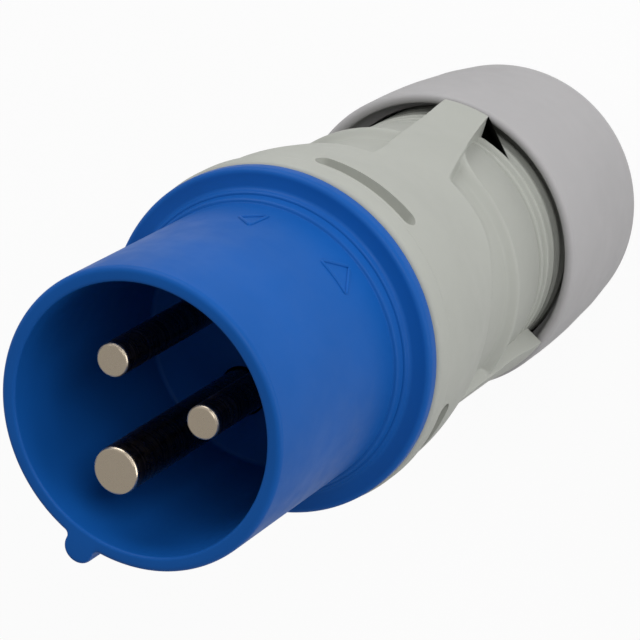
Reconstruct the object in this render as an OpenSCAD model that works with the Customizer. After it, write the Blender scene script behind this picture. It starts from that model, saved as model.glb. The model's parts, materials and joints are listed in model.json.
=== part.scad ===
// Industrial pin-and-sleeve plug, 16 A, two poles and earth.
// It stands on the rear face of the gland cap, pins up. The axis of the plug is Z,
// z = 0 is the rear face of the cap, and the keyway nub and the earth pin face -Y.

/* [Pin interface] */
// Outside diameter of the contact shroud
shroud_d = 44; // [43.6:0.1:44.4]
// Wall thickness of the shroud at the rim
shroud_wall = 2.25; // [2:0.05:2.5]
// Depth of the shroud from its rim to the contact face
shroud_depth = 38.3; // [36:0.1:40]
// Radius of the circle that the three pins stand on
pin_circle_r = 9; // [8.8:0.05:9.2]
// Diameter of the earth pin
earth_d = 7; // [6.8:0.1:7.2]
// Diameter of the line and neutral pins
phase_d = 5; // [4.8:0.1:5.2]
// How far the phase pin tips lie below the rim
phase_setback = 1.8; // [1:0.1:3]
// How far the earth pin tip lies below the rim
earth_setback = 0.3; // [0.2:0.1:1]
// Width of the keyway nub on the outside of the shroud
key_w = 4.6; // [4:0.1:5]
// How far the keyway nub stands proud of the shroud
key_h = 3.3; // [2.8:0.1:3.6]

/* [Insert] */
// Largest radius of the insert flange
flange_r = 26.6; // [26.2:0.1:26.8]
// Thickness of the flange edge
flange_t = 1.9; // [1.6:0.1:2.2]
// Outside radius of the skirt that enters the grip
skirt_r = 22.4; // [22.2:0.05:22.45]
// How far the bayonet lugs stand out of the skirt
lug_h = 1.3; // [1:0.1:1.4]
// Width of one bayonet lug in degrees
lug_span = 16; // [12:1:18]
// Turn of the insert between locked and free, in degrees
bayonet_turn = 30; // [24:1:36]

/* [Grip] */
// Total length of the plug from the cap's rear face to the shroud rim
total_l = 138; // [137:0.5:140]
// Radius of the rounded collar lip behind the flange
collar_r = 26.9; // [26.7:0.1:27.1]
// Radius of the collar body behind the lip
barrel_r = 26.3; // [26:0.1:26.5]
// Radius of the three arms at the waist
arm_r = 23.9; // [23.6:0.1:24.2]
// Radius of the wavy lip between the arms
lip_r = 23.1; // [22.8:0.1:23.4]
// Radius of the floor of the hollow in front of the lip
hollow_r = 22.2; // [22.1:0.1:22.5]
// Height at which the arms end, just above the cap
arm_end_z = 41.4; // [41.3:0.1:41.8]
// Length of one collar slot in degrees, without its round ends
slot_span = 33; // [28:1:36]
// Width of a collar slot
slot_w = 3.1; // [2.6:0.1:3.3]

/* [Gland] */
// Radius of the plain neck above the thread
neck_r = 21.6; // [21.4:0.1:21.8]
// Root radius of the neck's thread
thread_root_r = 20.5; // [20.3:0.1:20.7]
// Height of the cap
cap_h = 41; // [40.5:0.1:41]
// Largest radius of the cap
cap_r = 25; // [24.8:0.1:25.2]
// Number of grip recesses round the cap
grip_count = 6; // [4:1:8]
// Diameter of the cable hole in the cap
cable_hole_d = 19; // [17:0.5:20]
// Bore of the rubber cable seal
seal_bore_d = 12; // [9:0.5:12]
// Number of fingers on the clamp basket
finger_count = 10; // [8:1:12]

/* [Hidden] */
$fn = 96;
eps = 0.01;

// heights along the axis
rim_z = total_l;
base_z = rim_z - shroud_depth;            // contact face inside the shroud
flange_top_z = rim_z - 38.7;
flange_bot_z = flange_top_z - flange_t;
collar_top_z = flange_bot_z - 0.3;
skirt_end_z = collar_top_z - 14.6;
lug_top_z = collar_top_z - 11;
lug_t = 2.8;
carrier_top_z = base_z - 6.2;
carrier_end_z = 66;
terminal_z = 72.5;
slot_z = 89.8;
cavity_top_z = 82.4;
skin_top_z = 79.5;
neck_top_z = 62;
neck_step_z = 46.6;
neck_end_z = 24;

// radii
shroud_r = shroud_d / 2;
shroud_in_r = shroud_r - shroud_wall;
collar_bore_r = skirt_r + 0.15;
lug_ring_r = skirt_r + lug_h + 0.2;
cavity_r = 20.2;
neck_bore_r = 18.4;
barrel_d = 8.6;
shoulder_w = 0.35;
slip = 0.03;

// directions, in degrees about Z
earth_a = -90;
line_a = 30;
neutral_a = 150;
slot_angles = [89.2, -13.3, -166.7];
arm_pitch = 120;

// ---------- helpers ----------

// smooth ramp from 0 to 1
function ramp(x) = let(t = min(1, max(0, x))) t * t * (3 - 2 * t);
// ramp that starts with a crease and ends smoothly
function dip(x) = let(t = min(1, max(0, x))) t * (2 - t);
// points along an arc in a profile
function arc(c, r, a0, a1, n = 6) =
    [for (i = [0:n]) [c[0] + r * cos(a0 + (a1 - a0) * i / n), c[1] + r * sin(a0 + (a1 - a0) * i / n)]];

// part of a ring with a rectangular section
module ring_sector(r0, r1, z0, z1, a_mid, span) {
    rotate([0, 0, a_mid - span / 2])
        rotate_extrude(angle = span)
            translate([r0, z0])
                square([r1 - r0, z1 - z0]);
}

module at_pin(a) {
    rotate([0, 0, a])
        translate([pin_circle_r, 0, 0])
            children();
}

// ---------- insert ----------

// section of the shroud, its flange and its skirt, from the axis outwards
module insert_section() {
    polygon(concat(
        [[0, base_z - 6], [0, base_z]],
        [[shroud_in_r - 1.1, base_z]],
        arc([shroud_in_r - 1.1, base_z + 0.8], 0.8, -90, 0, 3),
        arc([shroud_in_r + 0.7, rim_z - 0.7], 0.7, 180, 90, 3),
        arc([shroud_r - 0.9, rim_z - 0.9], 0.9, 90, 0, 4),
        [[shroud_r, rim_z - 35.4]],
        arc([shroud_r + 0.1, rim_z - 36.0], 0.5, 90, 0, 3),
        arc([shroud_r + 0.9, rim_z - 37.3], 0.4, 100, 0, 3),
        arc([shroud_r + 2.1, rim_z - 37.1], 0.8, 180, 262, 4),
        arc([flange_r - 0.9, flange_top_z - 0.2], 0.9, 100, 0, 5),
        arc([flange_r - 0.5, flange_bot_z + 0.5], 0.5, 0, -90, 2),
        [[skirt_r, flange_bot_z], [skirt_r, skirt_end_z + 0.5], [skirt_r - 0.5, skirt_end_z],
         [skirt_r - 1.9, skirt_end_z], [skirt_r - 1.9, base_z - 6]]));
}

// moulded blue insert: shroud, keyway nub, flange, contact face and bayonet skirt
module shroud_insert() {
    color("royalblue")
    difference() {
        union() {
            rotate_extrude()
                insert_section();
            key_nub();
            for (a = slot_angles)
                ring_sector(skirt_r - 1, skirt_r + lug_h, lug_top_z - lug_t, lug_top_z, a, lug_span);
        }
        at_pin(earth_a)
            translate([0, 0, base_z - 8])
                cylinder(r = earth_d / 2 + shoulder_w + slip, h = 12);
        for (a = [line_a, neutral_a])
            at_pin(a)
                translate([0, 0, base_z - 8])
                    cylinder(r = phase_d / 2 + shoulder_w + slip, h = 12);
        for (a = [-30, 210])
            rotate([0, 0, a])
                translate([13.6, 0, base_z - 6.5])
                    cylinder(d = 2.7, h = 4.8);
    }
}

// keyway nub: a rounded rib over the whole depth of the shroud, blended into its wall
module key_nub() {
    rotate([0, 0, earth_a])
        translate([0, 0, rim_z - 36])
            linear_extrude(height = 36 - 0.2)
                difference() {
                    union() {
                        translate([shroud_r - 1, -key_w / 2])
                            square([key_h + 1 - key_w / 2, key_w]);
                        translate([shroud_r + key_h - key_w / 2, 0])
                            circle(d = key_w);
                        translate([shroud_r - 0.8, -key_w / 2 - 0.9])
                            square([1.6, key_w + 1.8]);
                    }
                    for (s = [-1, 1])
                        translate([shroud_r + 0.85, s * (key_w / 2 + 0.95)])
                            circle(r = 0.95, $fn = 32);
                }
}

// moulded block behind the contact face, one chimney round each terminal
module contact_carrier() {
    color("dimgray")
    difference() {
        union() {
            translate([0, 0, carrier_top_z - 6])
                cylinder(r = skirt_r - 2.2, h = 6);
            translate([0, 0, carrier_end_z])
                cylinder(r = 6.2, h = carrier_top_z - carrier_end_z - 3);
            for (a = [earth_a, line_a, neutral_a])
                at_pin(a)
                    translate([0, 0, carrier_end_z])
                        cylinder(r = 6.3, h = carrier_top_z - carrier_end_z - 3);
        }
        for (a = [earth_a, line_a, neutral_a]) {
            at_pin(a)
                translate([0, 0, carrier_end_z - 1])
                    cylinder(d = barrel_d + 0.1, h = carrier_top_z - carrier_end_z - 3 + 1);
            rotate([0, 0, a])
                translate([pin_circle_r, 0, terminal_z])
                    rotate([0, 90, 0])
                        cylinder(d = 6.4, h = 12);
        }
        at_pin(earth_a)
            translate([0, 0, carrier_top_z - 4])
                cylinder(r = earth_d / 2 + shoulder_w + slip, h = 6);
        for (a = [line_a, neutral_a])
            at_pin(a)
                translate([0, 0, carrier_top_z - 4])
                    cylinder(r = phase_d / 2 + shoulder_w + slip, h = 6);
        for (a = [-30, 210])
            rotate([0, 0, a])
                translate([13.6, 0, carrier_top_z - 7]) {
                    cylinder(d = 3.2, h = 9);
                    cylinder(d = 6.2, h = 3.6);
                }
    }
}

// turned contact: domed tip, plated shaft, and a terminal barrel with its wire hole
module contact_pin(d, tip_z, a) {
    at_pin(a)
        difference() {
            union() {
                rotate_extrude()
                    polygon(concat(
                        [[0, carrier_top_z - 4], [0, tip_z]],
                        arc([d / 2 - 0.55, tip_z - 0.55], 0.55, 90, 0, 4),
                        [[d / 2, base_z], [d / 2 + shoulder_w, base_z], [d / 2 + shoulder_w, carrier_top_z - 4]]));
                translate([0, 0, carrier_end_z + 0.6])
                    cylinder(d = barrel_d, h = carrier_top_z - 3.2 - carrier_end_z - 0.6);
            }
            translate([0, 0, carrier_end_z - 1])
                cylinder(d = 4.4, h = 13);
            translate([0, 0, terminal_z])
                rotate([0, 90, 0])
                    cylinder(d = 3.7, h = 8);
        }
}

module earth_pin() {
    color("tan")
        contact_pin(earth_d, rim_z - earth_setback, earth_a);
}

module line_pin() {
    color("tan")
        contact_pin(phase_d, rim_z - phase_setback, line_a);
}

module neutral_pin() {
    color("tan")
        contact_pin(phase_d, rim_z - phase_setback, neutral_a);
}

// M4 cheese-head terminal screw, lying across the barrel
module terminal_screw(a) {
    rotate([0, 0, a])
        translate([pin_circle_r, 0, terminal_z])
            rotate([0, 90, 0])
                difference() {
                    union() {
                        translate([0, 0, 0.6])
                            cylinder(d = 3.6, h = 5);
                        translate([0, 0, 5])
                            cylinder(d = 5.8, h = 2.4);
                    }
                    translate([-0.5, -4, 6.3])
                        cube([1, 8, 2]);
                }
}

module earth_terminal_screw() {
    color("silver")
        terminal_screw(earth_a);
}

module line_terminal_screw() {
    color("silver")
        terminal_screw(line_a);
}

module neutral_terminal_screw() {
    color("silver")
        terminal_screw(neutral_a);
}

// thread-forming screw that holds the carrier on the insert
module carrier_screw(a) {
    rotate([0, 0, a])
        translate([13.6, 0, carrier_top_z - 7])
            difference() {
                union() {
                    translate([0, 0, 3])
                        cylinder(d = 2.6, h = 7.8);
                    translate([0, 0, 1.2])
                        cylinder(d = 5.6, h = 2.3);
                }
                translate([-0.45, -1.9, 1])
                    cube([0.9, 3.8, 1.4]);
                translate([-1.9, -0.45, 1])
                    cube([3.8, 0.9, 1.4]);
            }
}

module carrier_screw_line_side() {
    color("silver")
        carrier_screw(-30);
}

module carrier_screw_neutral_side() {
    color("silver")
        carrier_screw(210);
}

// thin rubber ring between the flange and the collar
module face_gasket() {
    color("black")
        difference() {
            translate([0, 0, collar_top_z - 0.9])
                cylinder(r = 24.4, h = 1.1);
            translate([0, 0, collar_top_z - 2])
                cylinder(r = 23.2, h = 4);
        }
}

// ---------- grip housing ----------

// flanks of an arm at height z: the straight one and the swept one
function flank_a(z) = 110.7 - 7 * pow(max(0, z - 40) / 32, 1.5);
function flank_b(z) = 92.5 - 20.5 * pow(max(0, z - 40) / 38, 1.28);
// height of the wavy lip's crest in the window, dropping along the swept flank
function crest_z(a) = max(40, 58.8 - 20 * exp(-(92.4 - a) / 5));
// height where the hollow in front of the lip begins
function hollow_z(a) = 67.2 + 8.5 * ramp((62 - a) / 60);
// outer radius of the shell where an arm runs
function shell_r(z) = arm_r + (barrel_r - arm_r) * ramp((z - 68) / 20) + 0.7 * ramp((52 - z) / 12);

// outer radius of the housing in a window, at angle a and height z
function window_r(a, z) = let(
    mm = shell_r(z) * PI / 180,
    slope = 20 / 5 * exp(-max(-2, 92.4 - a) / 5) / mm,
    from_crest = (z - crest_z(a)) / sqrt(1 + slope * slope),
    side_b = ramp((flank_b(z) - a) * mm / (1.3 + 5 * ramp((z - 66) / 10))),
    side_a = ramp((a - flank_a(z) + arm_pitch) * mm / 1.2),
    floor_r = shell_r(z) - (shell_r(z) - hollow_r) * dip((hollow_z(a) - z) / 5) * side_b * side_a,
    ridge = ramp(1 - abs(from_crest - 0.6) / 2),
    lip = floor_r + max(0, lip_r - floor_r) * ridge,
    cut = ramp(0.5 - from_crest / 0.9) * ramp((a - flank_a(z) + arm_pitch) * mm / 0.5))
    lip - (lip - thread_root_r + 0.3) * cut;

// ring heights of the skin, closer together where the lip and the edges are
skin_z = concat([arm_end_z - 0.4, arm_end_z + 0.5], [44, 46.5, 49, 51.5, 53.5], [for (z = [55:1:61]) z],
                [for (z = [62.5:2:76.5]) z], [skin_top_z - 0.3, skin_top_z + 1]);
arm_steps = 4;
window_fractions = concat([0.01, 0.026, 0.05, 0.08, 0.115], [for (i = [0:15]) 0.155 + 0.0495 * i],
                          [0.94, 0.97, 0.988]);

// one third of a ring: across the arm, then across the window
function skin_third(z) = let(
    a0 = flank_a(z),
    b0 = flank_b(z),
    w = arm_pitch - (a0 - b0),
    tuck = 0.02 + 0.45 * ramp((arm_end_z + 0.5 - z) / 0.5) + 0.5 * ramp(z - skin_top_z + 0.3))
    concat([for (i = [0:arm_steps]) [a0 - (a0 - b0) * i / arm_steps, shell_r(z) - tuck]],
           [for (f = window_fractions) [b0 - w * f, window_r(b0 - w * f, z) - tuck]]);

function skin_ring(z) = [for (k = [0:2]) for (p = skin_third(z))
    [p[1] * cos(p[0] - arm_pitch * k), p[1] * sin(p[0] - arm_pitch * k), z]];

// lofted waist of the grip: three swept arms, the hollows and the wavy lip
module grip_skin() {
    rings = [for (z = skin_z) skin_ring(z)];
    n = len(rings[0]);
    m = len(rings);
    pts = [for (r = rings) for (p = r) p];
    sides = [for (j = [0:m - 2]) for (i = [0:n - 1]) let(k = (i + 1) % n)
        each [[j * n + i, (j + 1) * n + i, (j + 1) * n + k], [j * n + i, (j + 1) * n + k, j * n + k]]];
    bottom = [[for (i = [n - 1:-1:0]) i]];
    top = [[for (i = [0:n - 1]) (m - 1) * n + i]];
    polyhedron(points = pts, faces = concat(sides, bottom, top), convexity = 6);
}

// section of the collar: the barrel, the step above the slots and the rounded lip
module collar_section() {
    polygon(concat(
        [[18, skin_top_z], [18, collar_top_z]],
        arc([collar_r - 1, collar_top_z - 1], 1, 90, 0, 4),
        arc([collar_r - 1.5, 93.8], 1.5, 0, -55, 3),
        [for (z = [91.6, 90.6, 88, 86, 84, 82, skin_top_z]) [shell_r(z), z]]));
}

// collar slot with round ends, as deep as its floor
module collar_slot(a) {
    floor_r = 24.4;
    ring_sector(floor_r, 30, slot_z - slot_w / 2, slot_z + slot_w / 2, a, slot_span);
    for (s = [-1, 1])
        rotate([0, 0, a + s * slot_span / 2])
            translate([floor_r - 0.15, 0, slot_z])
                rotate([0, 90, 0])
                    cylinder(d = slot_w + 0.06, h = 6);
}

// moulded grip: collar lip, slots, arms, hollows, neck and the bore for the insert
module grip_housing() {
    color("lightgray")
    difference() {
        union() {
            difference() {
                grip_skin();
                translate([0, 0, arm_end_z - 5])
                    cylinder(r = cap_r + 3, h = 5);
            }
            rotate_extrude()
                collar_section();
            translate([0, 0, neck_step_z])
                cylinder(r = neck_r, h = neck_top_z - neck_step_z);
            translate([0, 0, neck_end_z])
                cylinder(r = thread_root_r, h = neck_top_z - neck_end_z);
        }
        for (a = slot_angles)
            collar_slot(a);
        translate([0, 0, cavity_top_z])
            cylinder(r = collar_bore_r, h = 30);
        translate([0, 0, cavity_top_z])
            cylinder(r = lug_ring_r, h = lug_top_z + 0.3 - cavity_top_z);
        translate([0, 0, collar_top_z - 1.1])
            cylinder(r = 24.6, h = 5);
        for (a = slot_angles)
            ring_sector(collar_bore_r - 1, lug_ring_r - 0.05, lug_top_z - 1, collar_top_z - 0.5,
                        a - bayonet_turn, lug_span + 1);
        translate([0, 0, neck_top_z - 2])
            cylinder(r = cavity_r, h = 40);
        translate([0, 0, neck_top_z - 6])
            cylinder(r1 = neck_bore_r, r2 = cavity_r, h = 4 + eps);
        translate([0, 0, neck_end_z - 1])
            cylinder(r = neck_bore_r, h = 40);
    }
}

// ---------- cable gland ----------

// plastic basket that the cap squeezes on to the seal: a flanged sleeve with fingers
module clamp_basket() {
    color("whitesmoke")
    difference() {
        rotate_extrude()
            polygon([[14.2, 31], [18.1, 31], [18.2, 24.2 - 0.4], [20.2, 23.8], [20.2, 21.4],
                     [16.6, 21.2], [13.6, 6.2], [10.6, 6.2], [14.2, 20.5]]);
        for (i = [0:finger_count - 1])
            rotate([0, 0, 360 * i / finger_count])
                translate([5, -0.9, 0])
                    cube([20, 1.8, 19.5]);
    }
}

// rubber sleeve that grips the cable
module cable_seal() {
    color("dimgray")
    difference() {
        rotate_extrude()
            polygon([[4, 30.4], [13.1, 30.4], [14, 29.5], [14, 21.3], [11, 9.2], [4, 9.2]]);
        translate([0, 0, 0])
            cylinder(d = seal_bore_d, h = 40);
    }
}

// outer section of the cap, from the cable hole to the rounded rim
function cap_outer() = concat(
    [[cable_hole_d / 2 + 0.8, 0]],
    arc([12.3, 11], 11, -90, -8, 12),
    [[cap_r - 0.85, 18], [cap_r - 0.45, 23.5], [cap_r - 0.12, 29], [cap_r, 34]],
    arc([cap_r - 0.9, cap_h - 0.9], 0.75, 0, 180, 6));

// inner section of the cap, from the rim down to the cable hole
function cap_inner() = [
    [cap_r - 1.75, 37.4], [22.6, 36], [21.8, 35.4], [21.8, 26.5], [21, 25.6], [21, 20.4],
    [17.6, 19.6], [14.6, 5.4], [cable_hole_d / 2 + 1, 3.6], [cable_hole_d / 2, 3], [cable_hole_d / 2, 0.8]];

// screwed cap with a barrel form, a domed rear end and shallow finger recesses
module gland_cap() {
    color("silver")
    difference() {
        rotate_extrude()
            polygon(concat(cap_outer(), cap_inner()));
        for (i = [0:grip_count - 1])
            rotate([0, 0, 85 - 360 / grip_count * i])
                translate([cap_r + 20.1, 0, 4])
                    rotate([0, 4, 0])
                        translate([0, 0, -8])
                            cylinder(r = 21.4, h = 33);
    }
}

shroud_insert();
contact_carrier();
earth_pin();
line_pin();
neutral_pin();
earth_terminal_screw();
line_terminal_screw();
neutral_terminal_screw();
carrier_screw_line_side();
carrier_screw_neutral_side();
face_gasket();
grip_housing();
clamp_basket();
cable_seal();
gland_cap();
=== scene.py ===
# %% [markdown]
# # An industrial pin-and-sleeve plug
# The solids of the plug come in as a fixed frame, in metres. This lesson gives every visible piece its
# finished surface and its material: the blue insert, the three contacts, the grey grip with its swept
# arms and its thread, and the screwed cap. All new shapes are worked out as numpy arrays, so each one is
# a formula that can be read, changed and measured.

# %% load the frame
import json
import math

import bmesh
import bpy
import numpy as np
from mathutils import Matrix, Vector

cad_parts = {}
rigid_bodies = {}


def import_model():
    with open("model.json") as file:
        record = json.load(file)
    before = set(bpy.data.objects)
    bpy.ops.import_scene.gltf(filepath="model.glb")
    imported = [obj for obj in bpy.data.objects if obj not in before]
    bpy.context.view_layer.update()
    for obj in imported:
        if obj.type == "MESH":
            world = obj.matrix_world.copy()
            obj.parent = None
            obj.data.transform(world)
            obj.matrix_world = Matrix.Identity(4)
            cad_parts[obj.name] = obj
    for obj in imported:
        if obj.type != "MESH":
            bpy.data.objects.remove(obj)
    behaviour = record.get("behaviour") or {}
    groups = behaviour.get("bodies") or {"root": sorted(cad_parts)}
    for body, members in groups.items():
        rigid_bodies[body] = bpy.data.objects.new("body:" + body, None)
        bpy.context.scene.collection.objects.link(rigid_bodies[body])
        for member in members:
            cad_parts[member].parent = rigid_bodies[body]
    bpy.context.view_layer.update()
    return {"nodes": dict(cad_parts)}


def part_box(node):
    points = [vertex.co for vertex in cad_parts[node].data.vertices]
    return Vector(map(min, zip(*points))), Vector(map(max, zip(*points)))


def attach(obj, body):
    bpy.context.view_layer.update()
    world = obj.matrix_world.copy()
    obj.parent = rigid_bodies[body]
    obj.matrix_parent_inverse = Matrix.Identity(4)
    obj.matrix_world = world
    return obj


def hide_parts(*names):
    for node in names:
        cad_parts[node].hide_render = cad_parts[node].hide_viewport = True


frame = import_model()
nodes = frame["nodes"]
MM = 0.001

# %% [markdown]
# ## Main sizes
# The finished surfaces have to sit where the solids are, so the sizes are read from the solids' boxes
# where a box gives them. The rest are given as numbers. All lengths below are millimetres, and
# they become metres in one place only, where a mesh is made.

# %% sizes
def span(name):
    """Lowest and highest corner of a solid in millimetres, from its box."""
    low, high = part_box(name)
    return np.array(low) / MM, np.array(high) / MM


RIM_Z = span("shroud_insert")[1][2]
EARTH_TIP_Z = span("earth_pin")[1][2]
PHASE_TIP_Z = span("line_pin")[1][2]
CAP_TOP_Z = span("gland_cap")[1][2]
COLLAR_TOP_Z = span("grip_housing")[1][2]
NECK_END_Z = span("grip_housing")[0][2]
BASE_Z = RIM_Z - 38.3
SHROUD_R = 22.0
SHROUD_IN_R = 19.75
FLANGE_R = 26.6
SKIRT_R = 22.4
COLLAR_R = 26.9
NECK_R = 21.6
ROOT_R = 20.5
CAP_R = 25.0
EARTH_A = -90.0
print(f"rim {RIM_Z:.1f}, collar {COLLAR_TOP_Z:.1f}, cap {CAP_TOP_Z:.1f} mm")

# %% [markdown]
# ## Camera
# The picture looks down on the pins from the side, with a long lens, so the shroud shows its rounded
# mouth and the cap runs away behind it. A camera needs a place, a point to look at and a direction that
# is up in the picture; the three together fix its turn as well.

# %% camera
VIEW_FROM = Vector((112.78, 210.02, 472.26)) * MM
VIEW_BACK = Vector((0.24485, 0.46185, 0.85250)).normalized()
VIEW_UP = Vector((-0.54233, 0.79408, -0.27443)).normalized()
VIEW_RIGHT = VIEW_UP.cross(VIEW_BACK).normalized()
camera_data = bpy.data.cameras.new("camera")
camera_data.lens = 168.75
camera_data.sensor_width = 36.0
camera_data.clip_start = 0.01
camera_data.clip_end = 20.0
camera = bpy.data.objects.new("camera", camera_data)
bpy.context.scene.collection.objects.link(camera)
turn = Matrix((VIEW_RIGHT, VIEW_BACK.cross(VIEW_RIGHT), VIEW_BACK)).transposed()
camera.matrix_world = Matrix.Translation(VIEW_FROM) @ turn.to_4x4()
bpy.context.scene.camera = camera
print("camera distance", round(VIEW_FROM.length, 3), "m")


# %% [markdown]
# ## From arrays to meshes
# Every new surface here is a grid: rows run along a profile and columns run round the axis. The grid
# becomes quads, rows that shrink to a point are merged, and the sign of the enclosed volume tells
# whether the faces point outwards. Edges sharper than a limit stay crisp, and all else is shaded smooth.

# %% grid to mesh
def grid_faces(rows, columns, closed_rows):
    """Quads of a grid whose columns run round: corner indexes (i,j), (i,j+1), (i+1,j+1), (i+1,j)."""
    i = np.arange(rows if closed_rows else rows - 1)[:, None]
    j = np.arange(columns)[None, :]
    i2, j2 = (i + 1) % rows, (j + 1) % columns
    corners = [i * columns + j, i * columns + j2, i2 * columns + j2, i2 * columns + j]
    return np.stack(corners, axis=-1).reshape(-1, 4)


def enclosed_volume(points, faces):
    """A sixth of the sum of the triple products of each triangle's corners; positive if faces point out."""
    a, b, c, d = (points[faces[:, k]] for k in range(4))
    return (np.einsum("ij,ij->i", a, np.cross(b, c)) + np.einsum("ij,ij->i", a, np.cross(c, d))).sum() / 6


def mesh_piece(name, parts, body, material, crisp=40.0):
    """One object from grids given as (points in mm with shape rows, columns, 3; whether the rows close)."""
    points, faces, start = [], [], 0
    for grid, closed_rows in parts:
        p = grid.reshape(-1, 3)
        f = grid_faces(grid.shape[0], grid.shape[1], closed_rows)
        if enclosed_volume(p, f) < 0:
            f = f[:, ::-1]
        points.append(p)
        faces.append(f + start)
        start += len(p)
    mesh = bpy.data.meshes.new(name)
    mesh.from_pydata(np.concatenate(points) * MM, [], np.concatenate(faces).tolist())
    bm = bmesh.new()
    bm.from_mesh(mesh)
    bmesh.ops.remove_doubles(bm, verts=bm.verts, dist=1e-6)
    for face in bm.faces:
        face.smooth = True
    for edge in bm.edges:
        if len(edge.link_faces) == 2 and edge.calc_face_angle() > math.radians(crisp):
            edge.smooth = False
    bm.to_mesh(mesh)
    bm.free()
    piece = bpy.data.objects.new(name, mesh)
    bpy.context.scene.collection.objects.link(piece)
    mesh.materials.append(material)
    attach(piece, body)
    print(name, len(mesh.polygons), "faces")
    return piece


def ramp(x):
    """Smooth step from 0 to 1: t squared times (3 minus 2 t)."""
    t = np.clip(x, 0.0, 1.0)
    return t * t * (3 - 2 * t)


def arc(cx, cz, r, a0, a1, n):
    """Points on an arc of a profile: centre plus r times (cosine, sine) of evenly spaced angles."""
    a = np.radians(np.linspace(a0, a1, n + 1))
    return np.column_stack([cx + r * np.cos(a), cz + r * np.sin(a)])


def profile(*pieces):
    """Joins points and arcs of a profile, radius and height, into one array."""
    return np.concatenate([np.atleast_2d(np.array(p, float)) for p in pieces])


def revolve(section, angles):
    """Each profile point (r, z) at each angle: r times cosine, r times sine, and z as it is."""
    a = np.radians(angles)[None, :]
    r = np.broadcast_to(section[:, :1], (len(section), a.size))
    z = np.broadcast_to(section[:, 1:], r.shape)
    return np.stack([r * np.cos(a), r * np.sin(a), z], axis=-1)


# %% [markdown]
# ## Materials
# Moulded plastic is never one flat colour: the tool leaves a fine grain, the pigment drifts a little,
# and the gloss varies. Each plastic below is one shader with noise at three scales: drift over
# centimetres, mottling over millimetres and grain over tenths of a millimetre.

# %% material helpers
def shader(name):
    """An empty material with a Principled shader, and its node tree."""
    material = bpy.data.materials.new(name)
    material.use_nodes = True
    tree = material.node_tree
    return material, tree, tree.nodes["Principled BSDF"]


def node(tree, kind, **values):
    """A node with its sockets or settings filled in by name; underscores stand for spaces in socket names."""
    new = tree.nodes.new(kind)
    for key, value in values.items():
        socket = key.replace("_", " ")
        if hasattr(new, key):
            setattr(new, key, value)
        else:
            new.inputs[socket].default_value = value
    return new


def noise(tree, scale, detail=2.0, stretch=(1, 1, 1)):
    """Noise on the piece's own coordinates, in cycles per metre."""
    coords = tree.nodes.new("ShaderNodeTexCoord")
    mapping = tree.nodes.new("ShaderNodeMapping")
    mapping.inputs["Scale"].default_value = stretch
    tree.links.new(coords.outputs["Object"], mapping.inputs["Vector"])
    texture = node(tree, "ShaderNodeTexNoise", Scale=scale, Detail=detail)
    tree.links.new(mapping.outputs["Vector"], texture.inputs["Vector"])
    return texture.outputs["Fac"]


def between(tree, value, low, high, low_in=0.3, high_in=0.7):
    """Carries a value from one range to another."""
    place = node(tree, "ShaderNodeMapRange", From_Min=low_in, From_Max=high_in, To_Min=low, To_Max=high)
    tree.links.new(value, place.inputs["Value"])
    return place.outputs["Result"]


def two_colours(tree, factor, first, second):
    """A blend of two colours by a factor."""
    mix = tree.nodes.new("ShaderNodeMix")
    mix.data_type = "RGBA"
    mix.inputs["A"].default_value = (*first, 1)
    mix.inputs["B"].default_value = (*second, 1)
    tree.links.new(factor, mix.inputs["Factor"])
    return mix.outputs["Result"]


def bump(tree, height, strength, distance, before=None):
    """A bump from a height, on top of another bump if there is one."""
    new = node(tree, "ShaderNodeBump", Strength=strength, Distance=distance)
    tree.links.new(height, new.inputs["Height"])
    if before is not None:
        tree.links.new(before, new.inputs["Normal"])
    return new.outputs["Normal"]


def moulded_plastic(name, colour, rough, specular, drift=0.06, grain=0.10):
    """Moulded plastic: colour drift, mottled gloss and a fine eroded grain."""
    material, tree, surface = shader(name)
    light = tuple(min(1.0, c * (1 + drift)) for c in colour)
    dark = tuple(c * (1 - drift) for c in colour)
    tree.links.new(two_colours(tree, between(tree, noise(tree, 45), 0, 1), dark, light),
                   surface.inputs["Base Color"])
    tree.links.new(between(tree, noise(tree, 260, 3), rough - 0.05, rough + 0.07),
                   surface.inputs["Roughness"])
    fine = bump(tree, noise(tree, 5200, 2), grain, 0.00005)
    tree.links.new(bump(tree, noise(tree, 130, 1), 0.12, 0.0003, fine), surface.inputs["Normal"])
    surface.inputs["Specular IOR Level"].default_value = specular
    return material


# %% [markdown]
# ## Plastics and rubber
# The blue insert is glossier than the two greys, and the cap's grey is a shade warmer and smoother than
# the grip's. The pieces inside take a dark carrier plastic, an uncoloured basket plastic and a dull rubber.

# %% plastics and rubber
BLUE = (0.006, 0.092, 0.375)
GREY = (0.402, 0.412, 0.378)
CAP_GREY = (0.405, 0.396, 0.402)
blue_plastic = moulded_plastic("blue_insert_plastic", BLUE, 0.42, 0.12)
grey_plastic = moulded_plastic("grey_grip_plastic", GREY, 0.55, 0.35, 0.035)
cap_plastic = moulded_plastic("grey_cap_plastic", CAP_GREY, 0.52, 0.35, 0.03)
carrier_plastic = moulded_plastic("dark_carrier_plastic", (0.05, 0.05, 0.055), 0.6, 0.4)
basket_plastic = moulded_plastic("natural_basket_plastic", (0.62, 0.60, 0.53), 0.5, 0.4, 0.03)
seal_rubber = moulded_plastic("black_seal_rubber", (0.025, 0.025, 0.027), 0.75, 0.3, 0.15, 0.3)
print("plastics ready")

# %% [markdown]
# ## Turned metal
# The contacts are turned from brass rod and plated. The tool leaves fine rings round the shaft, so the
# noise is stretched until it changes along the axis only. The tip is polished bright by use, and the
# shaft behind it has gone brown and dull, so height along the axis drives colour and roughness.

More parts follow.
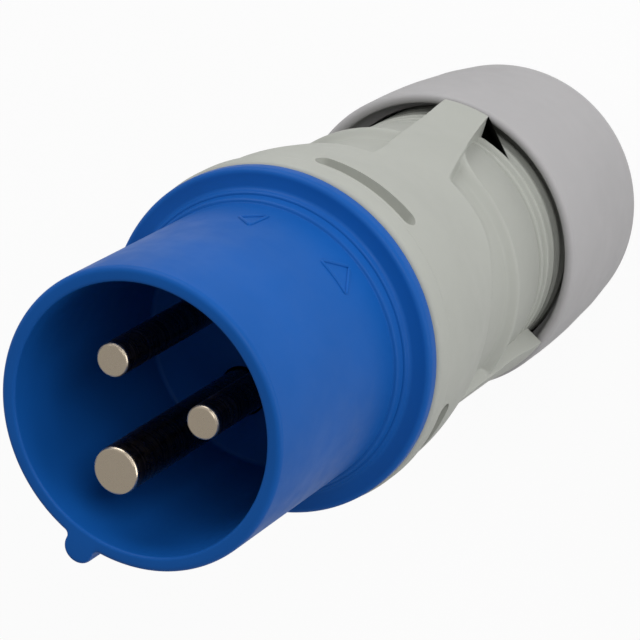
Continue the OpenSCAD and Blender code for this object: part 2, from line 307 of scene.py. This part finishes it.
# %% metals
def turned_contact(name, tip_z):
    """Plated contact: bright tip, dull brown shaft with turning rings."""
    material, tree, surface = shader(name)
    coords = tree.nodes.new("ShaderNodeTexCoord")
    split = tree.nodes.new("ShaderNodeSeparateXYZ")
    tree.links.new(coords.outputs["Object"], split.inputs["Vector"])
    tip = between(tree, split.outputs["Z"], 0, 1, (tip_z - 0.66) * MM, (tip_z - 0.52) * MM)
    rings = noise(tree, 1, 3, (20, 20, 2600))
    shaft = two_colours(tree, between(tree, rings, 0, 1, 0.35, 0.68),
                        (0.05, 0.036, 0.028), (0.30, 0.22, 0.16))
    mix = tree.nodes.new("ShaderNodeMix")
    mix.data_type = "RGBA"
    mix.inputs["B"].default_value = (0.74, 0.63, 0.49, 1)
    tree.links.new(shaft, mix.inputs["A"])
    tree.links.new(tip, mix.inputs["Factor"])
    tree.links.new(mix.outputs["Result"], surface.inputs["Base Color"])
    tree.links.new(between(tree, noise(tree, 900), 0.22, 0.36), surface.inputs["Roughness"])
    tree.links.new(bump(tree, rings, 0.5, 0.00006), surface.inputs["Normal"])
    surface.inputs["Metallic"].default_value = 1.0
    return material


def zinc_steel(name):
    """Zinc-plated steel: metal with a faint cloudy gloss."""
    material, tree, surface = shader(name)
    cloud = between(tree, noise(tree, 420), 0, 1)
    tree.links.new(two_colours(tree, cloud, (0.46, 0.46, 0.44), (0.62, 0.61, 0.57)),
                   surface.inputs["Base Color"])
    tree.links.new(between(tree, noise(tree, 800), 0.25, 0.42), surface.inputs["Roughness"])
    surface.inputs["Metallic"].default_value = 1.0
    return material


earth_metal = turned_contact("nickel_earth_contact", EARTH_TIP_Z)
phase_metal = turned_contact("nickel_phase_contact", PHASE_TIP_Z)
screw_metal = zinc_steel("zinc_screw")
print("metals ready")


# %% [markdown]
# ## Insert
# The insert is one moulding: a shroud round the contacts, a flange that closes the grip, and a skirt
# that locks inside it. It is a body of revolution apart from the keyway nub, so its outer wall is a
# profile turned round the axis and pushed out where the nub runs. Columns crowd round the nub, whose
# sides are nearly straight.

# %% insert
NUB_W = 4.6
NUB_H = 3.3


def nub_height(angles):
    """Height of the nub over the shroud: a round-topped rib, square root of a circle, with hollow feet."""
    across = np.radians((angles - EARTH_A + 180) % 360 - 180) * (SHROUD_R + 1.2)
    half = NUB_W / 2
    top = NUB_H - half + np.sqrt(np.clip(half ** 2 - across ** 2, 0, None))
    side = np.clip((half + 0.02 - np.abs(across)) / 0.04, 0, 1)
    foot_r = 1.0
    reach = np.clip(np.abs(across) - half, 0, foot_r)
    foot = foot_r - np.sqrt(np.clip(foot_r ** 2 - (foot_r - reach) ** 2, 0, None))
    beside = np.where(reach < foot_r, foot, 0)
    return np.where(np.abs(across) < half, top * side + foot_r * (1 - side), beside)


def insert_angles():
    """Even columns round the insert, with extra ones across the nub."""
    even = np.arange(0, 360, 1.5)
    near = EARTH_A + np.concatenate([np.linspace(-10, 10, 81), np.linspace(-6.2, -5.2, 12),
                                     np.linspace(5.2, 6.2, 12)])
    return np.unique(np.round(np.concatenate([even, near % 360]), 4))


def insert_profile():
    """Outer wall from rim to flange, then the skirt, the hidden back, the contact face and the mouth."""
    z = RIM_Z
    outside = profile(arc(SHROUD_R - 0.9, z - 0.9, 0.9, 90, 0, 8), (SHROUD_R, z - 12), (SHROUD_R, z - 24),
                      (SHROUD_R, z - 35.4), arc(SHROUD_R + 0.1, z - 36.0, 0.5, 90, 10, 5),
                      arc(SHROUD_R + 0.9, z - 37.3, 0.4, 100, 20, 4),
                      arc(SHROUD_R + 2.1, z - 37.1, 0.8, 190, 262, 6))
    flange = profile(arc(FLANGE_R - 0.9, z - 38.9, 0.9, 100, 0, 8), arc(FLANGE_R - 0.5, z - 40.1, 0.5, 0, -90, 4))
    rest = profile((SKIRT_R, z - 40.6), (SKIRT_R, z - 55.0), (SKIRT_R - 0.5, z - 55.5), (SKIRT_R - 1.9, z - 55.5),
                   (SKIRT_R - 1.9, BASE_Z - 6), (0, BASE_Z - 6), (0, BASE_Z), (6, BASE_Z), (12, BASE_Z),
                   (SHROUD_IN_R - 1.1, BASE_Z), arc(SHROUD_IN_R - 1.1, BASE_Z + 0.8, 0.8, -90, -8, 6),
                   (SHROUD_IN_R - 0.2, z - 25), (SHROUD_IN_R - 0.1, z - 12),
                   arc(SHROUD_IN_R + 0.5, z - 0.5, 0.5, 180, 90, 6))
    return outside, flange, rest


outside, flange, rest = insert_profile()
angles = insert_angles()
rounding = (SHROUD_R - outside[:, :1]).clip(0, 1)
wall = np.maximum(outside[:, :1], SHROUD_R + nub_height(angles)[None, :] - rounding)
wall_grid = np.stack([wall * np.cos(np.radians(angles)), wall * np.sin(np.radians(angles)),
                      np.broadcast_to(outside[:, 1:], wall.shape)], axis=-1)
insert_grid = np.concatenate([wall_grid, revolve(profile(flange, rest), angles)])
insert_grid = np.concatenate([insert_grid[-1:], insert_grid[:-1]])
insert = mesh_piece("insert_moulding", [(insert_grid, True)], "insert", blue_plastic, 42)
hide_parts("shroud_insert")


# %% [markdown]
# ## Contacts
# A contact is a turned bar: a flat tip with a small rounded edge, a plain shaft and a wider terminal
# barrel at the back. The solids already have all of that, wire hole included, so they are shown as they
# are and only take the plated metal.

# %% contacts
for name, material in (("earth_pin", earth_metal), ("line_pin", phase_metal), ("neutral_pin", phase_metal)):
    nodes[name].material_slots[0].material = material
print("three contacts in plated metal")

# %% [markdown]
# ## Pieces inside
# The carrier, screws, gasket, basket and seal are hardly seen, so their solids are shown as they are.
# Each takes the material that such a piece is made of.

# %% materials of the pieces inside
for name, material in (("contact_carrier", carrier_plastic), ("earth_terminal_screw", screw_metal),
                       ("line_terminal_screw", screw_metal), ("neutral_terminal_screw", screw_metal),
                       ("carrier_screw_line_side", screw_metal), ("carrier_screw_neutral_side", screw_metal),
                       ("face_gasket", seal_rubber), ("clamp_basket", basket_plastic), ("cable_seal", seal_rubber)):
    nodes[name].material_slots[0].material = material

# %% [markdown]
# ## Grip
# The grip is the piece with the most form. Three arms sweep back to the cap and turn a little as they
# go. Between them the shell dips into a hollow and ends in a wavy lip over the neck. All of it is one
# radius that depends on the angle and the height, so each row of the grid follows the flanks of the arms
# and the steps stay clean. The shape follows the solid closely, though the lip stands a little higher
# here and the hollow goes a little deeper.

# %% grip formulas
ARM_PITCH = 120.0
ARM_R, BARREL_R, LIP_R, HOLLOW_R = 23.9, 26.3, 23.45, 21.95
ARM_END_Z, WAIST_TOP_Z = 41.4, 79.5


def dip(x):
    """A step that starts with a crease and ends smoothly: t times (2 minus t)."""
    t = np.clip(x, 0.0, 1.0)
    return t * (2 - t)


def flank_a(z):
    """Angle of the arm's straight flank: it drifts with the 1.5th power of the height over 40."""
    return 110.7 - 7 * (np.clip(z - 40, 0, None) / 32) ** 1.5


def flank_b(z):
    """Angle of the arm's swept flank: it falls away with the 1.28th power of the height over 40."""
    return 92.5 - 20.5 * (np.clip(z - 40, 0, None) / 38) ** 1.28


def shell_r(z):
    """Radius of the shell where an arm runs: arm radius, swelling to the barrel above and a little below."""
    return ARM_R + (BARREL_R - ARM_R) * ramp((z - 68) / 20) + 0.7 * ramp((52 - z) / 12)


def window_r(a, z):
    """Radius between the arms: the shell, minus the hollow, plus the ridge of the lip, cut off below it."""
    mm = shell_r(z) * math.pi / 180
    fall = np.exp(-np.clip(92.4 - a, -10, None) / 5)
    crest = np.maximum(40, 58.8 - 20 * np.exp(-(92.4 - a) / 5))
    above = (z - crest) / np.sqrt(1 + (4 * fall / mm) ** 2)
    side_b = ramp((flank_b(z) - a) * mm / (1.3 + 5 * ramp((z - 66) / 10)))
    side_a = ramp((a - flank_a(z) + ARM_PITCH) * mm / 1.2)
    hollow_top = 67.2 + 8.5 * ramp((62 - a) / 60)
    floor_r = shell_r(z) - (shell_r(z) - HOLLOW_R) * dip((hollow_top - z) / 5) * side_b * side_a
    lip = floor_r + np.clip(LIP_R - floor_r, 0, None) * ramp(1 - np.abs(above - 0.6) / 1.8)
    cut = ramp(0.5 - above / 0.9) * ramp((a - flank_a(z) + ARM_PITCH) * mm / 0.5)
    return lip - (lip - ROOT_R + 0.3) * cut


# %% [markdown]
# ## Grip skin
# The waist's columns are spread evenly over each arm and eased towards its flanks between the arms, so
# that a step always falls between two columns. The collar above and the bores inside are plain turned
# profiles on the waist's top columns, and the three parts join row to row into one closed skin.

# %% grip skin
def waist_rows(z):
    """For each height, the angles and radii of one third: evenly across the arm, then across the window."""
    a0, b0 = flank_a(z)[:, None], flank_b(z)[:, None]
    across = np.linspace(0, 1, 15)[None, :]
    ease = np.linspace(0, 1, 120)[None, 1:-1]
    share = 0.5 - 0.5 * np.cos(math.pi * (0.35 * ease + 0.65 * (0.5 - 0.5 * np.cos(math.pi * ease))))
    arm_a = a0 - (a0 - b0) * across
    window_a = b0 - (ARM_PITCH - (a0 - b0)) * share
    arm_r = np.broadcast_to(shell_r(z)[:, None], arm_a.shape)
    z2 = np.broadcast_to(z[:, None], window_a.shape)
    return np.hstack([arm_a, window_a]), np.hstack([arm_r, window_r(window_a, z2)])


def full_turn(a, r, z):
    """Repeats one third three times round the axis and gives points."""
    turned = np.radians(np.hstack([a - ARM_PITCH * k for k in range(3)]))
    r3 = np.hstack([r, r, r])
    heights = np.broadcast_to(z[:, None], r3.shape)
    return np.stack([r3 * np.cos(turned), r3 * np.sin(turned), heights], axis=-1)


waist_z = np.concatenate([np.linspace(WAIST_TOP_Z, 62, 50), np.linspace(61.75, 42.0, 80), [41.7, ARM_END_Z]])
waist_a, waist_r = waist_rows(waist_z)
waist = full_turn(waist_a, waist_r, waist_z)
round_a = np.hstack([waist_a[0] - ARM_PITCH * k for k in range(3)])
barrel_z = np.linspace(91.4, WAIST_TOP_Z + 0.4, 24)
collar = profile((24.6, COLLAR_TOP_Z), arc(COLLAR_R - 1, COLLAR_TOP_Z - 1, 1, 90, 0, 7),
                 arc(COLLAR_R - 1.5, 93.8, 1.5, 0, -55, 6), (26.3, 92.0),
                 np.column_stack([shell_r(barrel_z), barrel_z]))
inside = profile((20.3, ARM_END_Z), (20.3, 60), (20.2, 62), (20.2, 82.4), (23.9, 82.4), (23.9, 86.4),
                 (22.55, 86.4), (22.55, COLLAR_TOP_Z - 1.1), (24.6, COLLAR_TOP_Z - 1.1))
skin = np.concatenate([revolve(collar, round_a), waist, revolve(inside, round_a)])

# %% [markdown]
# ## Neck and thread
# Under the arms runs the neck: plain above, and threaded where the cap screws on. The thread is a ridge
# whose place along the axis moves by one pitch each turn, so the radius depends on height minus
# turn times pitch. It fades in and out at both ends, as a moulded thread does.

# %% neck with its thread
PITCH = 2.45
THREAD_H = 0.85
FIRST_CREST_Z = 45.2
neck_z = np.concatenate([[62.0, 47.0, 46.75], np.linspace(46.6, 26.0, 190), [25.0]])
neck_a = np.arange(0, 360, 1.5)
turns = (neck_z[:, None] - FIRST_CREST_Z - PITCH * (neck_a[None, :] - 75) / 360) / PITCH
off_crest = np.abs(turns - np.round(turns)) * PITCH
ridge = ramp((0.85 - off_crest) / 0.6) * ramp((46.3 - neck_z[:, None]) / 0.8)
ridge = ridge * ramp((neck_z[:, None] - 26.2) / 1.5)
neck_radius = np.where(neck_z[:, None] > 46.9, NECK_R, np.where(neck_z[:, None] > 46.65, NECK_R - 0.15,
                       ROOT_R + 0.35 * ramp((neck_z[:, None] - 46.1) / 0.5) + THREAD_H * ridge))
neck = np.stack([neck_radius * np.cos(np.radians(neck_a)), neck_radius * np.sin(np.radians(neck_a)),
                 np.broadcast_to(neck_z[:, None], neck_radius.shape)], axis=-1)
neck_ends = revolve(profile((ROOT_R - 0.4, NECK_END_Z), (18.4, NECK_END_Z), (18.4, 56), (20.2, 60)), neck_a)
neck = mesh_piece("threaded_neck", [(np.concatenate([neck, neck_ends]), True)], "grip",
                  grey_plastic, 50)
grip = mesh_piece("grip_moulding", [(skin, True)], "grip", grey_plastic, 50)

# %% [markdown]
# ## Slots in the collar
# Three blind slots run round the collar. Each is cut with a boolean, by a stadium shape laid on a
# cylinder: two straight edges along the angle and a half circle at each end.

# %% slots
SLOT_ANGLES = (89.2, -13.3, -166.7)
SLOT_Z, SLOT_W, SLOT_SPAN = 89.8, 3.1, 33.0
SLOT_FLOOR_R, SLOT_CUT_R = 24.4, 28.5


def strip_cutter(middle):
    """The slot's volume as a closed band: along the slot in angle, round its section in radius and height."""
    t = np.linspace(-1, 1, 61)
    straight = math.radians(SLOT_SPAN / 2) * BARREL_R
    half = straight + SLOT_W / 2
    along = half * np.sin(t * math.pi / 2)
    beyond = np.clip(np.abs(along) - straight, 0, SLOT_W / 2)
    width = np.sqrt(np.clip((SLOT_W / 2) ** 2 - beyond ** 2, 1e-6, None))
    a = math.radians(middle) + along / BARREL_R
    corners = [(SLOT_FLOOR_R, -1), (SLOT_FLOOR_R, 1), (SLOT_CUT_R, 1), (SLOT_CUT_R, -1)]
    return np.stack([np.column_stack([r * np.cos(a), r * np.sin(a), SLOT_Z + side * width])
                     for r, side in corners], axis=1)


for number, middle in enumerate(SLOT_ANGLES):
    grid = strip_cutter(middle)
    rows, columns = grid.shape[:2]
    faces = grid_faces(rows, columns, False)
    ends = [list(range(columns)), list(range((rows - 1) * columns, rows * columns))[::-1]]
    cutter_mesh = bpy.data.meshes.new("slot_cutter")
    cutter_mesh.from_pydata(grid.reshape(-1, 3) * MM, [], faces.tolist() + ends)
    bm = bmesh.new()
    bm.from_mesh(cutter_mesh)
    bmesh.ops.recalc_face_normals(bm, faces=bm.faces)
    bm.to_mesh(cutter_mesh)
    bm.free()
    cutter = bpy.data.objects.new(f"slot_cutter_{number}", cutter_mesh)
    bpy.context.scene.collection.objects.link(cutter)
    cut = grip.modifiers.new("slot", "BOOLEAN")
    cut.operation = "DIFFERENCE"
    cut.solver = "EXACT"
    cut.object = cutter
bpy.context.view_layer.update()
graph = bpy.context.evaluated_depsgraph_get()
cut_mesh = bpy.data.meshes.new_from_object(grip.evaluated_get(graph))
grip.modifiers.clear()
grip.data = cut_mesh
for leftover in [o for o in bpy.data.objects if o.name.startswith("slot_cutter")]:
    bpy.data.objects.remove(leftover)
bm = bmesh.new()
bm.from_mesh(grip.data)
for edge in bm.edges:
    edge.smooth = not (len(edge.link_faces) == 2 and edge.calc_face_angle() > math.radians(50))
bm.to_mesh(grip.data)
bm.free()
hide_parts("grip_housing")
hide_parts("grip_housing")
print("grip faces after the slots", len(grip.data.polygons))

# %% [markdown]
# ## Cap
# The cap is a barrel turned round the axis, with shallow finger recesses. A recess is where a cylinder
# beside the cap, tilted a few degrees, cuts into it: along each direction the cylinder's surface lies at
# its centre's distance times the cosine, minus the root of radius squared less the centre's offset
# squared. The cap's radius is the smaller of the barrel and that.

# %% cap
cap_outer = profile((10.3, 0), arc(12.3, 11, 11, -90, -8, 40), (24.05, 16.5), (CAP_R - 0.85, 18),
                    (CAP_R - 0.68, 20.5), (CAP_R - 0.45, 23.5), (CAP_R - 0.26, 26), (CAP_R - 0.12, 29),
                    (CAP_R - 0.05, 31.5), (CAP_R, 34), (CAP_R, 37),
                    arc(CAP_R - 0.9, CAP_TOP_Z - 0.9, 0.9, 0, 180, 10))
cap_inner = profile((CAP_R - 1.75, 37.4), (22.6, 36), (21.8, 35.4), (21.8, 26.5), (21, 25.6), (21, 20.4),
                    (17.6, 19.6), (14.6, 5.4), (10.5, 3.6), (9.5, 3), (9.5, 0.8))
cap_a = np.arange(0, 360, 0.75)
apart = (cap_a - 85 + 30) % 60 - 30
far = 45.1 + (cap_outer[:, 1:] - 4) * math.tan(math.radians(4))
reach = far * np.cos(np.radians(apart)) - np.sqrt(
    np.clip(21.4 ** 2 - (far * np.sin(np.radians(apart))) ** 2, 0, None))
blend_w = 0.12
raw = np.clip((cap_outer[:, :1] - reach) / blend_w, -30, 30)
cap_r = cap_outer[:, :1] - blend_w * np.log1p(np.exp(raw)) * (cap_outer[:, :1] > 14)
cap_skin = np.stack([cap_r * np.cos(np.radians(cap_a)), cap_r * np.sin(np.radians(cap_a)),
                     np.broadcast_to(cap_outer[:, 1:], cap_r.shape)], axis=-1)
cap = mesh_piece("cap_moulding", [(np.concatenate([cap_skin, revolve(cap_inner, cap_a)]), True)], "cap",
                 cap_plastic, 50)
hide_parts("gland_cap")

# %% [markdown]
# ## Raised arrow on the shroud
# A small outlined arrow stands a quarter of a millimetre proud and shows which way the insert turns.
# Each side is a low round bar bent over the cylinder, sunk a little into it.

# %% arrows
def raised_bar(ends, half_width=0.28, height=0.28):
    """A bar between two points (angle, height) on the shroud: a half-ellipse section carried along the line."""
    (a0, z0), (a1, z1) = ends
    t = np.linspace(0, 1, 17)
    a, z = a0 + (a1 - a0) * t, z0 + (z1 - z0) * t
    along = np.array([np.radians(a1 - a0) * SHROUD_R, z1 - z0])
    side = np.array([-along[1], along[0]]) / np.hypot(*along)
    turn_a = np.radians(np.arange(0, 360, 30))
    shrink = np.sqrt(np.clip(1 - np.abs(2 * t - 1) ** 16, 0.0004, None))[:, None]
    w = half_width * np.cos(turn_a)[None, :] * shrink
    h = height * np.sin(turn_a)[None, :] * shrink
    aa = np.radians(a)[:, None] + w * side[0] / SHROUD_R
    r = SHROUD_R + h
    return np.stack([r * np.cos(aa), r * np.sin(aa), z[:, None] + w * side[1]], axis=-1)


def arrow(name, corners):
    """Three bars that outline a triangle."""
    pairs = [(corners[k], corners[(k + 1) % 3]) for k in range(3)]
    return mesh_piece(name, [(raised_bar(pair), False) for pair in pairs], "insert",
                      blue_plastic, 60)


arrow("open_arrow", [(77.7, 109.6), (69.9, 104.8), (61.6, 109.9)])
arrow("close_arrow", [(105.5, 106.5), (113.5, 109.9), (106.5, 112.0)])

# %% [markdown]
# ## Floor and light
# A pale floor and three soft lamps. The camera sees the floor almost white, yet a share of it is still
# plain diffuse floor, so the plug keeps a soft shadow where it stands.

# %% floor
bpy.ops.mesh.primitive_plane_add(size=12.0, location=(0, 0, 0))
floor = bpy.context.object
floor.name = "floor"
floor_paint, tree, surface = shader("floor_paint")
tree.nodes.remove(surface)
diffuse = node(tree, "ShaderNodeBsdfDiffuse", Color=(0.92, 0.92, 0.92, 1))
glow = node(tree, "ShaderNodeEmission", Color=(1, 1, 1, 1), Strength=1.0)
blend = tree.nodes.new("ShaderNodeMixShader")
path = tree.nodes.new("ShaderNodeLightPath")
share = node(tree, "ShaderNodeMath", operation="MULTIPLY")
share.inputs[1].default_value = 0.93
tree.links.new(path.outputs["Is Camera Ray"], share.inputs[0])
tree.links.new(share.outputs[0], blend.inputs["Fac"])
tree.links.new(diffuse.outputs[0], blend.inputs[1])
tree.links.new(glow.outputs[0], blend.inputs[2])
tree.links.new(blend.outputs[0], tree.nodes["Material Output"].inputs["Surface"])
floor.data.materials.append(floor_paint)

# %% [markdown]
# ## World and lamps
# The world is plain white where the camera looks at it and a weak fill for everything else. Three square
# area lamps shape the plug: a key from above, one from the right and a soft one from the front.

# %% world and lamps
world = bpy.data.worlds.new("studio")
bpy.context.scene.world = world
world.use_nodes = True
tree = world.node_tree
background = tree.nodes["Background"]
seen = node(tree, "ShaderNodeBackground", Color=(1, 1, 1, 1), Strength=1.0)
path = tree.nodes.new("ShaderNodeLightPath")
blend = tree.nodes.new("ShaderNodeMixShader")
background.inputs["Color"].default_value = (1, 1, 1, 1)
background.inputs["Strength"].default_value = 0.35
tree.links.new(path.outputs["Is Camera Ray"], blend.inputs["Fac"])
tree.links.new(background.outputs[0], blend.inputs[1])
tree.links.new(seen.outputs[0], blend.inputs[2])
tree.links.new(blend.outputs[0], tree.nodes["World Output"].inputs["Surface"])


def lamp(name, right, up, back, distance, size, power):
    """A square area lamp, placed by its direction in the picture: right, up and towards the viewer."""
    middle = Vector((0, 0, 80 * MM))
    direction = (VIEW_RIGHT * right + VIEW_UP * up + VIEW_BACK * back).normalized()
    data = bpy.data.lights.new(name, "AREA")
    data.size = size
    data.energy = power
    new = bpy.data.objects.new(name, data)
    bpy.context.scene.collection.objects.link(new)
    new.matrix_world = (Matrix.Translation(middle + direction * distance)
                        @ direction.to_track_quat("Z", "Y").to_matrix().to_4x4())
    return new


lamp("key_lamp", -0.35, 0.95, 0.30, 0.9, 0.7, 4.6)
lamp("side_lamp", 1.0, -0.1, 0.40, 0.9, 0.8, 4.6)
lamp("front_lamp", 0.25, 0.30, 1.0, 1.0, 0.5, 3.4)
bpy.context.scene.view_settings.view_transform = "Standard"
